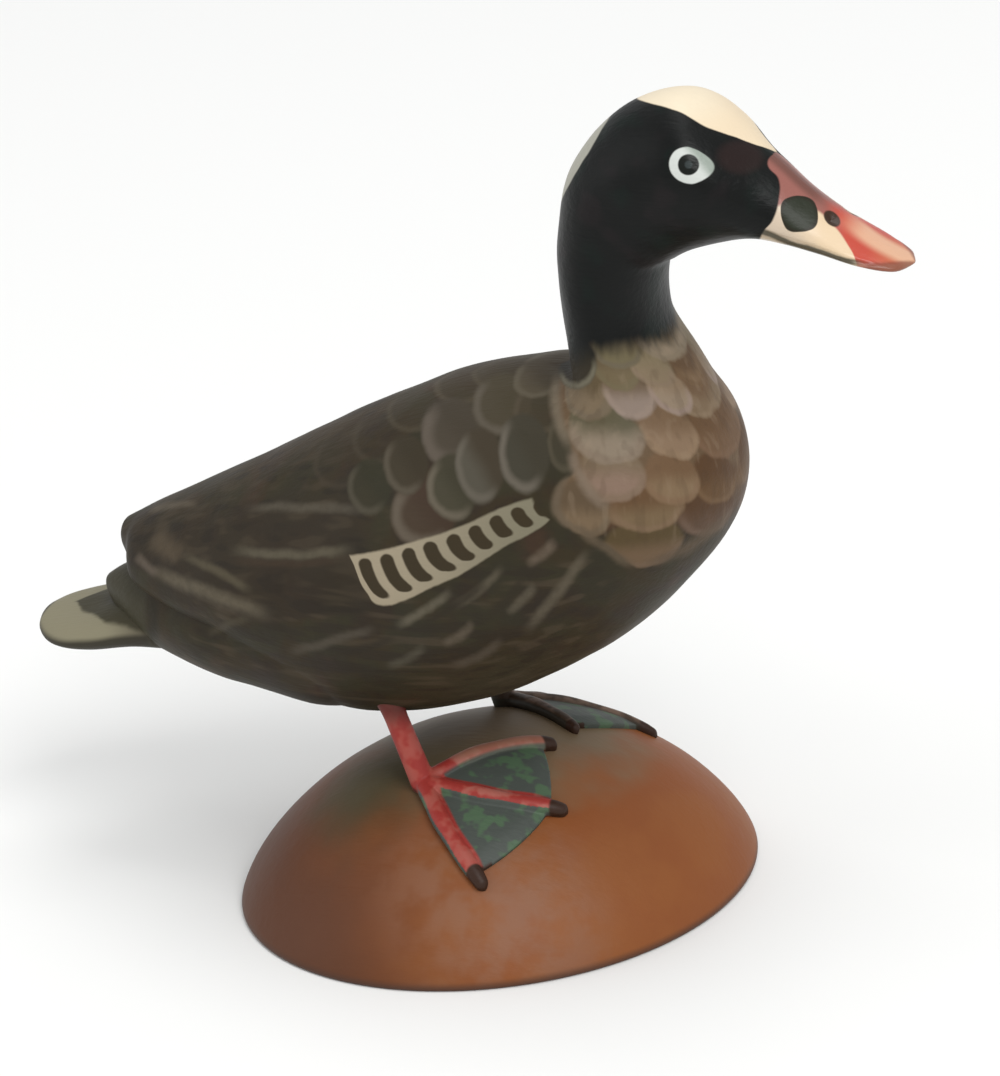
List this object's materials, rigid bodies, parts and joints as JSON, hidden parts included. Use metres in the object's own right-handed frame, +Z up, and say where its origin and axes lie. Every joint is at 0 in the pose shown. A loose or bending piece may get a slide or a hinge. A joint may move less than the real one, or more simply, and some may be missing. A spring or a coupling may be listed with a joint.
{
  "type": "miniature duck decoy",
  "caption": "Miniature carved and painted duck standing on webbed feet on an oval domed mound, for display on a shelf.",
  "frame": {"origin": "centre of the mound's flat underside", "axes": "+Z up out of the mound, +X towards the bird's bill, -Y towards the bird's right side"},
  "size_m": [0.1144, 0.0616, 0.1015],
  "materials": {
    "painted_bird": "satin paint in blacks, browns, cream and red",
    "painted_leg": "satin coral red paint, worn",
    "painted_mound": "satin rusty brown paint, mottled"
  },
  "bodies": {
    "root": {"carved_bird": "painted_bird", "right_leg_and_foot": "painted_leg", "left_leg_and_foot": "painted_leg", "mound_base": "painted_mound"}
  },
  "joints": []
}
